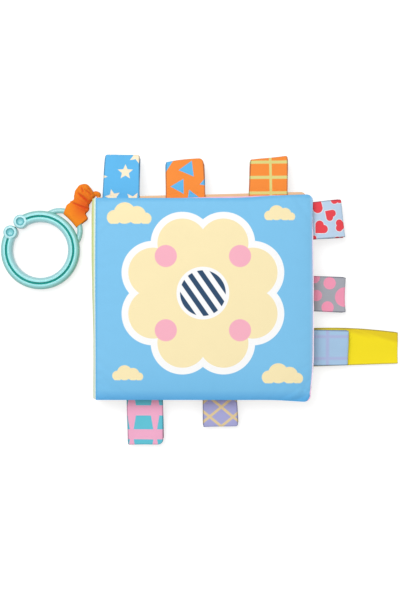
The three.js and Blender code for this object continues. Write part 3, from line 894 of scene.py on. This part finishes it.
# each tag's base and end are shares of its leaf's half side, its reaches and corners those of its two edges
tags = {
    "star_tag": {
        "leaf": "first_leaf", "side": "top", "base": (-0.956, -0.6), "end": (-0.935, -0.602),
        "reach": (1.1, 1.074), "corners": (1.6, 2), "hollow": 0.1,
        "slot": "sky_ribbon", "ground": "tagBlue", "art": starTag,
    },
    "triangle_tag": {
        "leaf": "first_leaf", "side": "top", "base": (-0.349, 0.031), "end": (-0.35, 0.015),
        "reach": (0.857, 0.93), "corners": (0.6, 4), "hollow": -0.6,
        "slot": "orange_ribbon", "ground": "orange", "art": triangleTag,
    },
    "check_tag": {
        "leaf": "first_leaf", "side": "top", "base": (0.448, 0.82), "end": (0.466, 0.825),
        "reach": (0.85, 0.92), "corners": (0.8, 1.6), "hollow": 0.2,
        "slot": "orange_ribbon", "ground": "orange", "art": checkTag,
    },
    "heart_tag": {
        "leaf": "first_leaf", "side": "right", "base": (0.912, 0.525), "end": (0.952, 0.559),
        "reach": (0.892, 0.993), "corners": (1, 1), "hollow": 0.2,
        "slot": "aqua_ribbon", "ground": "aqua", "art": heartTag,
    },
    "dot_tag": {
        "leaf": "second_leaf", "side": "right", "base": (0.22, -0.137), "end": (0.202, -0.149),
        "reach": (1.006, 1.01), "corners": (0.6, 1.2), "hollow": 0.7,
        "slot": "grey_ribbon", "ground": "grey", "art": dotTag,
    },
    "plaid_tag": {
        "leaf": "second_leaf", "side": "right", "base": (-0.321, -0.688), "end": (-0.333, -0.684),
        "reach": (1.078, 1.039), "corners": (0.5, 0.8), "hollow": -0.1,
        "slot": "aqua_ribbon", "ground": "plaid", "art": plaidTag,
    },
    "yellow_label": {
        "leaf": "back_cover", "side": "right", "base": (-0.305, -0.698), "end": (-0.348, -0.666),
        "reach": (1.099, 1.092), "corners": (0.3, 0.3), "hollow": 0.2, "full": 64, "swell": 1.6,
        "slot": "yellow_ribbon", "ground": "yellow", "art": labelShade,
    },
    "block_tag": {
        "leaf": "second_leaf", "side": "bottom", "base": (-0.385, -0.734), "end": (-0.383, -0.721),
        "reach": (1.234, 1.226), "corners": (4, 1), "hollow": 0.1,
        "slot": "rose_ribbon", "ground": "rose", "art": blockTag,
    },
    "lattice_tag": {
        "leaf": "second_leaf", "side": "bottom", "base": (0.324, -0.006), "end": (0.335, 0.002),
        "reach": (0.774, 0.804), "corners": (1.8, 0.8), "hollow": 0.1,
        "slot": "lilac_ribbon", "ground": "lilac", "art": latticeTag,
    },
}


def foldedPath(length, share):  # along the upper ply from the leaf, round the fold and back
    fold, straight = ribbon["foldHeight"], length - ribbon["foldHeight"]
    run = straight + ribbon["lap"]
    total = 2 * run + math.pi * fold
    gone = share * total
    if run < gone < total - run:
        turn = (gone - run) / fold
        return straight + fold * math.sin(turn), fold * math.cos(turn)
    away = min(gone, total - gone) - ribbon["lap"]
    if away > 0:
        up = mix(ribbon["baseHeight"], fold, away / straight)
    else:
        near = 1 + away / leaf["crownReach"]
        up = ribbon["baseHeight"] + leaf["thick"] / 2 * math.sqrt(max(0, 1 - near * near))
    return away, up if gone < total / 2 else -up


for seed, (name, tag) in enumerate(tags.items()):
    tag = {**ribbon, **tag}
    one = leaves[tag["leaf"]]
    base, end, reach = tag["base"], tag["end"], tag["reach"]
    sideways = tag["side"] == "right"
    sign = -1 if tag["side"] == "bottom" else 1
    half = (leaf["depth"] if sideways else leaf["width"]) / 2
    height = leafMiddle(one)

    def tagPlace(u, v):
        share = closer(2 * v - 1) / 2 + 0.5
        place = mix(*base, share)
        x, y = leafPlace(one, 1, place) if sideways else leafPlace(one, place, sign)
        width = abs(end[1] - end[0]) * half
        rounding = 0
        for radius, away in zip(tag["corners"], (share * width, (1 - share) * width)):
            if away < radius:
                rounding += radius - math.sqrt(radius ** 2 - (radius - away) ** 2)
        length = mix(*reach, share) * tag["full"] - rounding - tag["hollow"] * (1 - (2 * share - 1) ** 2)
        gone, up = foldedPath(length, u)
        part = gone / length
        shift = (mix(*end, share) - place) * half * part
        shift += tag["swell"] * (1 - share) * math.sin(math.pi * max(0, part))
        out = gone + tag["gap"]
        x, y = (x + out, y + shift) if sideways else (x + shift, y + sign * out)
        sag = tag["droop"] * height * part ** 2 - tag["wave"] * part * math.sin(math.pi * 2 * share)
        ripple = noise.noise(Vector((x / tag["curlLength"], y / tag["curlLength"], seed * 4.1))) * tag["curl"] * part
        return x, y, height + up - sag + ripple

    mesh = gridMesh(tag["columns"], tag["rows"], tagPlace, turnOver=True)
    finish = cloth(name, tag["ground"], ribbonPrintEdgeShaded(tag["art"]), pitch=tag["threadPitch"])
    piece = addPiece(mesh, name + "_ribbon", tag["leaf"], finish, [name], sharp=50, wall=tag["wall"])
    width = (abs(base[1] - base[0]) + abs(end[1] - end[0])) / 2 * half
    length = 2 * (mix(*reach, 0.5) * tag["full"] + tag["lap"])
    width * mm
    length * mm
print("tags made")

# spine band: three strips of one cloth, one for each gap between two neighbouring leaves
spine = {
    "seamX": -80.3,
    "bulge": 5.2,
    "taper": 0.32,
    "topTaper": 0.2,
    "topTaperRate": 14,
    "waist": 0.12,
    "waistPlace": 0.72,
    "waistLength": 0.22,
    "wall": 0.8,
    "low": 3.2,
    "high": 20.5,
    "top": 74.9,
    "bottom": -74.9,
    "rows": 150,
    "columns": 12,
    "ripple": 0.18,
    "rippleLength": 14,
}
spineStrips = [("back_cover", "second_leaf"), ("second_leaf", "first_leaf"), ("first_leaf", "front_cover")]


def spinePlace(level, v):  # level runs from 0 at the back cover's seam to 1 at the front cover's
    share = 1 - v
    waist = spine["waist"] * math.exp(-((share - spine["waistPlace"]) / spine["waistLength"]) ** 2)
    narrowing = spine["taper"] * share + spine["topTaper"] * math.exp(-spine["topTaperRate"] * share) + waist
    middle, half = (spine["low"] + spine["high"]) / 2, (spine["high"] - spine["low"]) / 2
    rise = -math.cos(math.pi * level)
    out = spine["bulge"] * (1 - narrowing) * math.sqrt(max(0, 1 - rise * rise))
    y = mix(spine["top"], spine["bottom"], share)
    spot = Vector((y / spine["rippleLength"], level * 3, 2.2))
    ripple = spine["ripple"] * noise.noise(spot) * math.sin(math.pi * level)
    return spine["seamX"] - out - ripple, y, middle + half * rise


spineFinish = cloth("spineBand", "band", spineSeamAndHighlight)
for index, (lower, upper) in enumerate(spineStrips):
    shares = [(index + step) / len(spineStrips) for step in (0, 1)]
    start, stop = [math.acos(1 - 2 * share) / math.pi for share in shares]
    strip = gridMesh(spine["columns"], spine["rows"], lambda u, v: spinePlace(mix(start, stop, u), v))
    piece = addPiece(strip, f"spine_strip_{index + 1}", None, spineFinish,
                     ["spine_band"] if index == 0 else [], sharp=60, wall=spine["wall"])
    low, high = [(spine["seamX"] * mm, 0, mix(spine["low"], spine["high"], share) * mm) for share in shares]
    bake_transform(piece)
print("spine made")

# strap: a loop round the ring's eyelet, a gathered sleeve over an elastic, and an end sewn into the spine
strap = {
    "anchor": (-83, 79.03),
    "degrees": 45,
    "span": 23.1,
    "barHeight": 4.25,
    "spineHeight": 4.74,
    "eyeletRadius": 15.4,
    # rows across the strap from its fold to its sewn end: left x and y, right x and y
    "loopRows": ((-107, 64.6, -97.4, 54.5), (-106, 67.6, -92.9, 57.7), (-104.6, 71.1, -89.2, 61),
                 (-101.6, 73.4, -90.6, 64.7), (-99, 75, -89.6, 67.4)),
    "loopHeights": (3.3, 3.4, 3.2, 2.5, 1.4),
    "loopFold": 0.36,
    "loopWall": 0.7,
    "sleeveRows": ((-102.6, 74, -90.2, 65), (-99.8, 75.6, -87.8, 67.8), (-99.4, 78.2, -87.9, 70.5),
                   (-98.9, 81.4, -87, 72.8), (-97.2, 84.2, -85.6, 74.7), (-94, 87, -84.5, 76.2),
                   (-89.1, 87, -83.7, 77.2), (-84.7, 81.8, -82.9, 78.1)),
    "sleeveHeights": (3.3, 3.7, 3.5, 3.8, 3.8, 3.6, 2.7, 1.3),
    "sleeveWall": 0.6,
    "creases": [((-96.4, 80.4), (-87.8, 73.3), 1.3, 0.9), ((-101, 73.3), (-89.9, 68.4), 1, 0.8),
                ((-93.7, 85.2), (-92.1, 80.9), 0.8, 0.7), ((-90.2, 82.8), (-85.9, 79), 0.8, 0.7),
                ((-92.4, 75.7), (-88, 71.4), -0.5, 1), ((-88.5, 85), (-86, 81.5), 0.5, 0.6)],
    # patches of painted shade, where the strap is painted darker and redder
    "shadeSpots": [((-91, 69), 12, 0.95), ((-92, 79), 14, 0.3)],  # centre, radius and strength
    "sheen": 0.03,
    "threadPitch": 0.5,
    "uvSize": (40, 44),
    "gather": 0.45,
    "gathers": 9,
    "gatherDrift": 0.8,
    "fineFold": 0.3,
    "loopRipple": 0.16,
    "loopEdge": 0.12,
    # the sewn end: places with their half widths
    "endSpots": ((-85, 80.4, 4.7, 1), (-83.4, 80.2, 4.8, 1.7), (-81.8, 79.9, 5.1, 1.95), (-80.6, 79.2, 5.4, 1.7),
                 (-80.5, 77.4, 5.7, 1.3), (-80.9, 75.3, 5.8, 1.2), (-81.1, 73.2, 5.85, 1.1)),
    "endFlatness": 0.8,
    "elasticHalf": 3.5,
    "elasticThick": 0.6,
    "elasticBulge": 0.35,  # a flat section with rounded edges
    "sleeveFlat": (0.033, 0.024),
    "loopFlat": (0.036, 0.015),
}
strapTurn = math.radians(strap["degrees"])
strapLine = Vector((math.cos(strapTurn), math.sin(strapTurn)))
eyeletCentre = Vector(strap["anchor"]) - strapLine * (strap["span"] + strap["eyeletRadius"])


def onRows(rows, share):  # the left and right edges of the strap at a share of its way
    leftX, leftY, rightX, rightY = [shareAt(row, 2 * share - 1) for row in zip(*rows)]
    return Vector((leftX, leftY)), Vector((rightX, rightY))


def sleevePlace(u, v):
    left, right = onRows(strap["sleeveRows"], u)
    centre, half = (left + right) / 2, (left - right) / 2
    turn = 2 * math.pi * v
    x, z = math.cos(turn), math.copysign(abs(math.sin(turn)) ** 0.75, math.sin(turn))
    # small gathers run round the sleeve, each one wandering a little
    around = Vector((math.cos(turn) * 1.1, math.sin(turn) * 1.1, 0))
    drift = noise.noise(around + Vector((0, 0, u * 2.1))) * strap["gatherDrift"]
    fold = math.sin(math.pi * (u * strap["gathers"] + drift)) ** 2
    gather = strap["gather"] * fold * math.sin(math.pi * min(u * 1.2, 1))
    fine = strap["fineFold"] * noise.noise(Vector((around.x * 2.4, around.y * 2.4, u * 9))) * min(1, u * 6)
    place = centre + half * (x * (1 - (gather * 0.3 - fine) / max(half.length, 1)))
    low = 0 if z > 0 else 0.6  # the side on the table is smoother
    dip = (creased(*place, strap["creases"]) + gather * 0.6) * (1 - low) - fine
    height = shareAt(strap["sleeveHeights"], 2 * u - 1)
    up = z * (height - dip * min(1, abs(z) * 1.6) * min(1, height / 3))
    return *place, mix(strap["barHeight"], strap["spineHeight"], u) + up


def loopPlace(u, v):  # u from the tuck along the upper ply, round the fold and back, v from right to left
    away, side = abs(2 * u - 1), 1 if u < 0.5 else -1
    fold = strap["loopFold"]
    if away < fold:
        turn = math.pi / 2 * away / fold
        share, up = (1 - math.cos(turn)) / 4, math.sin(turn) * strap["loopHeights"][0]
    else:
        part = (away - fold) / (1 - fold)
        share, up = mix(0.25, 1, part), shareAt(strap["loopHeights"], 2 * part - 1)
    left, right = onRows(strap["loopRows"], share)
    place = right.lerp(left, v) - strapLine * (0.5 * (2 * v - 1) ** 2 * max(0, 1 - 3 * share))
    ripple = strap["loopRipple"] * noise.noise(Vector((v * 3, share * 3, side * 2.1)))
    edge = 1 - strap["loopEdge"] * abs(2 * v - 1) ** 6
    return *place, strap["barHeight"] + side * (up * edge + ripple * min(1, 4 * share))


def endSpot(share):
    return [shareAt(row, 2 * share - 1) for row in zip(*strap["endSpots"])]


def sewnEndPlace(u, v):
    x, y, z, half = endSpot(u)
    before, after = [Vector(endSpot(max(0, min(1, u + step)))[:3]) for step in (-0.02, 0.02)]
    across = (after - before).cross(Vector((0, 0, 1))).normalized()
    turn = 2 * math.pi * v
    half *= 1 + 0.1 * math.sin(turn * 5 + u * 5)
    up = Vector((0, 0, half * math.sin(turn) * strap["endFlatness"]))
    return Vector((x, y, z)) + across * (half * math.cos(turn)) + up


def elasticPlace(u, v):
    left, right = onRows(strap["sleeveRows"], u * 0.9)
    centre, across = (left + right) / 2, (left - right).normalized()
    turn = 2 * math.pi * v
    wide = min(strap["elasticHalf"], (left - right).length / 2 - 1.5) * (1 if u < 0.8 else 1 - (u - 0.8) * 2.5)
    thick = strap["elasticThick"] * (0.88 + 0.12 * math.cos(u * 150))
    x, z = [math.copysign(abs(side) ** strap["elasticBulge"], side) for side in (math.cos(turn), math.sin(turn))]
    return *(centre + across * x * wide), mix(strap["barHeight"], strap["spineHeight"], u) + z * thick


def paintedStrapShade(plane, colour):  # painted shade: the strap is painted darker and redder down in its creases and in broad patches
    spot = places(plane, 0)
    for start, end, depth, width in strap["creases"]:
        if depth > 0:
            line = Vector(end) - Vector(start)
            x, y, _ = turned(spot, Vector(start) + line / 2, math.degrees(math.atan2(line.y, line.x))).xyz()
            shade = abs(y).ramp(width * 1.2, 0) * ((abs(x) / (line.length * 0.55)) ** 4).ramp(1, 0)
            colour = painted(colour, (shade * min(1, depth), "strapShadeDeep"))
    for centre, radius, strength in strap["shadeSpots"]:
        colour = painted(colour, (disc(spot, centre, radius).ramp(0, radius) * strength, "strapShadeRed"))
    return colour


strapLook = cloth("strapCloth", "strapOrange", paintedStrapShade, strap["threadPitch"], strap["sheen"], strap["uvSize"])
sleeve = addPiece(gridMesh(150, 96, sleevePlace, closed=True, turnOver=True), "strap_sleeve_gathered", "strap",
                  strapLook, ["strap_sleeve"], sharp=70, wall=strap["sleeveWall"])

loop = addPiece(gridMesh(120, 48, loopPlace, turnOver=True), "strap_loop_folded", "strap",
                strapLook, ["strap_loop"], sharp=60, wall=strap["loopWall"])

sewnEnd, elastic = gridMesh(60, 40, sewnEndPlace, closed=True), gridMesh(120, 32, elasticPlace, closed=True)
for solid in (sewnEnd, elastic):
    bmesh.ops.holes_fill(solid, edges=[edge for edge in solid.edges if edge.is_boundary])
    bmesh.ops.recalc_face_normals(solid, faces=solid.faces)
addPiece(sewnEnd, "strap_end_gathered", "back_cover", strapLook, ["strap_sewn_end"], sharp=60)
addPiece(elastic, "strap_elastic_band", "strap", cloth("elasticBand", "elastic", pitch=0.6),
         ["strap_elastic"], sharp=60)
print("strap made")

# ring
ring = {
    "diameter": 60,
    "width": 8.8,
    "height": 8.5,
    "edge": 2.6,
    "groove": 1.5,
    "grooveDepth": 1.1,
    "grooveLip": 0.2,
    "grooveCorner": 0.4,
    "knob": 10.6,
    "knobGap": 0.6,
    "knobOutset": 0.6,
    "knobEdge": 1.2,
    "dimple": 6.2,
    "dimpleDepth": 1.4,
    "dimpleLip": 0.15,
    "bar": 4.2,
    "slot": 4.2,
    "openingDegrees": 137,
    "steps": 200,
}
meanRadius = (ring["diameter"] - ring["width"]) / 2
eyelet = strap["eyeletRadius"]
ringCentre = eyeletCentre - strapLine * (ring["diameter"] / 2 + ring["slot"] + ring["bar"] / 2 - eyelet)


def arc(x, z, radius, low, high, steps):
    turns = [math.radians(mix(low, high, step / steps)) for step in range(steps + 1)]
    return [(x + radius * math.cos(turn), z + radius * math.sin(turn)) for turn in turns]


def spun(points, centre, low, high, steps, close=True):  # an outline of distances and heights, spun round a centre
    mesh = bmesh.new()
    verts = []
    for x, z in points:
        place = Vector((centre.x + x * math.cos(low), centre.y + x * math.sin(low), z))
        verts.append(mesh.verts.new(place * mm))
    for pair in zip(verts, verts[1:] + verts[:1] if close else verts[1:]):
        mesh.edges.new(pair)
    whole = abs(high - low) > 2 * math.pi - 1e-6
    bmesh.ops.spin(mesh, geom=mesh.edges[:] + mesh.verts[:], cent=(centre.x * mm, centre.y * mm, 0), axis=(0, 0, 1),
                   angle=high - low, steps=steps, use_merge=whole)
    bmesh.ops.remove_doubles(mesh, verts=mesh.verts, dist=1e-6)
    if not whole:
        bmesh.ops.holes_fill(mesh, edges=[edge for edge in mesh.edges if edge.is_boundary])
    bmesh.ops.recalc_face_normals(mesh, faces=mesh.faces)
    return mesh


def ringSection():  # rounded, with a groove along its top
    side, top = ring["width"] / 2, ring["height"]
    edge, groove, deep = ring["edge"], ring["groove"] / 2, ring["grooveDepth"]
    lip, corner = ring["grooveLip"], ring["grooveCorner"]
    points = arc(side - edge, edge, edge, -90, 0, 8) + arc(side - edge, top - edge, edge, 0, 90, 8)
    points += arc(groove + lip, top - lip, lip, 90, 180, 3)
    points += arc(groove - corner, top - deep + corner, corner, 0, -90, 4)
    points += arc(corner - groove, top - deep + corner, corner, 270, 180, 4)
    points += arc(-groove - lip, top - lip, lip, 0, 90, 3)
    points += arc(edge - side, top - edge, edge, 90, 180, 8) + arc(edge - side, edge, edge, 180, 270, 8)
    return [(meanRadius + x, z) for x, z in points]


def knobProfile():
    side, top, edge = ring["knob"] / 2, ring["height"], ring["knobEdge"]
    return [(0, 0), *arc(side - edge, edge, edge, -90, 0, 6), *arc(side - edge, top - edge, edge, 0, 90, 6), (0, top)]


def dimpleProfile():  # the cutter: a bowl with a softened lip
    half, top, deep, lip = ring["dimple"] / 2, ring["height"], ring["dimpleDepth"], ring["dimpleLip"]
    bowl = [(half * math.cos(math.radians(turn)), top - lip - (deep - lip) * math.sin(math.radians(turn)))
            for turn in range(80, -1, -10)]
    return [(0, top - deep), *bowl, (half + lip, top), (half + lip, top + 1), (0, top + 1)]


def joined(base, added, cutters):  # one solid from several, less its cutters
    parts = [newObject(mesh, "ringPart") for mesh in (base, *added, *cutters)]
    for index, part in enumerate(parts[1:]):
        step = parts[0].modifiers.new("join", "BOOLEAN")
        step.operation = "UNION" if index < len(added) else "DIFFERENCE"
        step.solver, step.object = "EXACT", part
    shape = bmesh.new()
    shape.from_mesh(parts[0].evaluated_get(bpy.context.evaluated_depsgraph_get()).to_mesh())
    for part in parts:
        bpy.data.objects.remove(part)
    bmesh.ops.dissolve_degenerate(shape, dist=1e-6, edges=shape.edges)
    return shape


opening = math.radians(ring["openingDegrees"])
knobReach = meanRadius + ring["knobOutset"]
halfOpening = math.asin((ring["knob"] + ring["knobGap"]) / 2 / knobReach)
turns = (opening + halfOpening, opening - halfOpening + 2 * math.pi)
knobCentres = [ringCentre + Vector((math.cos(turn), math.sin(turn))) * knobReach for turn in turns]
knobs, dimples = [[spun(profile, centre, 0, 2 * math.pi, 64, close=False) for centre in knobCentres]
                  for profile in (knobProfile(), dimpleProfile())]
eyeletAway = (eyeletCentre - ringCentre).length
halfBar = math.acos((meanRadius ** 2 - eyeletAway ** 2 - eyelet ** 2) / (2 * eyeletAway * eyelet))
barSection = arc(eyelet, ring["height"] / 2, ring["bar"] / 2, 0, 345, 23)
bar = spun(barSection, eyeletCentre, strapTurn - halfBar, strapTurn + halfBar, 90)
ringMesh = joined(spun(ringSection(), ringCentre, *turns, ring["steps"]), [*knobs, bar], dimples)


def plasticFinish():
    finish, shader, start = newFinish("tealPlastic", 0.28)
    shader.inputs["Coat Roughness"].default_value = 0.12
    plane = places(start)
    z = plane.xyz()[2]
    flat = plane.vector("MULTIPLY", (1, 1, 0))
    away = distance(flat, ringCentre) - meanRadius
    knobAway = least(*[distance(flat, centre) for centre in knobCentres])
    fromKnob = knobAway - ring["knob"] / 2
    offKnob = inked(fromKnob, 0.3)
    onRing = inked(ring["width"] / 2 + 0.2 - away, 0.4)
    top = z.ramp(ring["height"] - 0.5, ring["height"] - 0.1)
    lipHighlights = inked(0.7 - abs(abs(away) - 1.5), 0.5) * top * offKnob
    inGroove = inked(least(slab(away, ring["groove"] / 2 + 0.1), ring["height"] - 0.15 - z, fromKnob + 0.2), 0.3)
    dimple = ring["dimple"] / 2 - knobAway
    # painted light and shade: the outer slope, the groove, the knob rims and the dimples are painted darker, and the
    # inner slope, the groove lips and the knob tops paler, as light and shade fall on the ring; the cloudy pale is the
    # plastic's own
    painted(
        tint("plastic"), (plane.clouded(0.08, 2), "plasticPale"),
        (away.ramp(2.2, 4.4) * offKnob * onRing * 0.75, "outerSlopeShade"),
        (away.ramp(-3, -4.4) * offKnob * 0.6, "innerSlopeLight"), (lipHighlights * 0.7, "grooveLip"), (inGroove, "groove"),
        (inked(-0.5 - fromKnob, 0.4) * top * 0.7, "knobTopLight"),
        (inked(slab(fromKnob + 0.1, 0.25), 0.3) * 0.5, "knobRimShade"), (inked(dimple, 0.4) * 0.85, "dimple"),
        (inked(slab(dimple - 0.4, 0.45), 0.5) * 0.55, "dimpleRimShade"),
    ).feed(shader, "Base Color")
    fine = plane.clouded(0.5, 3)
    (fine * 0.04).feedBump(shader, 0.4)
    (0.24 + fine * 0.1 + inGroove * 0.5).feed(shader, "Roughness")
    (0.25 - inGroove * 0.25).feed(shader, "Coat Weight")
    return finish


addPiece(ringMesh, "split_ring", "ring", plasticFinish(), ["c_ring"], sharp=35)
print("ring made")

# studio
studio = {
    "floorSize": 3,
    "floorDrop": 0.0002,
    "floorShade": 0.5,
    "floorGlow": 0.66,
    "world": 0.5,
    "lamps": [((-0.28, 0.36, 0.95), 6.4, 0.7), ((0.5, -0.5, 0.8), 0.7, 1)],  # place, power and size
}


def addStudio():
    floorMesh = bmesh.new()
    bmesh.ops.create_grid(floorMesh, x_segments=1, y_segments=1, size=studio["floorSize"] / 2)
    bmesh.ops.translate(floorMesh, verts=floorMesh.verts, vec=(0, 0, -studio["floorDrop"]))
    floor = newObject(floorMesh, "floor")
    finish, shader, start = newFinish("floorFinish", 0.9)
    shader.inputs["Base Color"].default_value = (*[studio["floorShade"]] * 3, 1)
    shader.inputs["Emission Strength"].default_value = 1
    seen = most(*[start.node("LightPath", output=f"Is {ray} Ray") for ray in ("Camera", "Glossy", "Transmission")])
    glow = seen * studio["floorGlow"]
    start.node("CombineColor", {0: glow, 1: glow, 2: glow}).feed(shader, "Emission Color")
    floor.data.materials.append(finish)

    world = bpy.data.worlds.new("studio")
    world.use_nodes = True
    bpy.context.scene.world = world
    background = world.node_tree.nodes["Background"]
    background.inputs["Color"].default_value = (1, 1, 1, 1)
    seen = Value(world.node_tree).node("LightPath", output="Is Camera Ray")
    (seen * (1 - studio["world"]) + studio["world"]).feed(background, "Strength")
    for place, power, size in studio["lamps"]:
        lamp = bpy.data.lights.new("lamp", "AREA")
        lamp.energy, lamp.size = power, size
        lampObject = bpy.data.objects.new("lamp", lamp)
        lampObject.location = place
        lampObject.rotation_euler = (-Vector(place)).to_track_quat("-Z", "Y").to_euler()
        bpy.context.scene.collection.objects.link(lampObject)


addStudio()
bpy.context.scene.view_settings.view_transform = "Standard"
print("studio made")
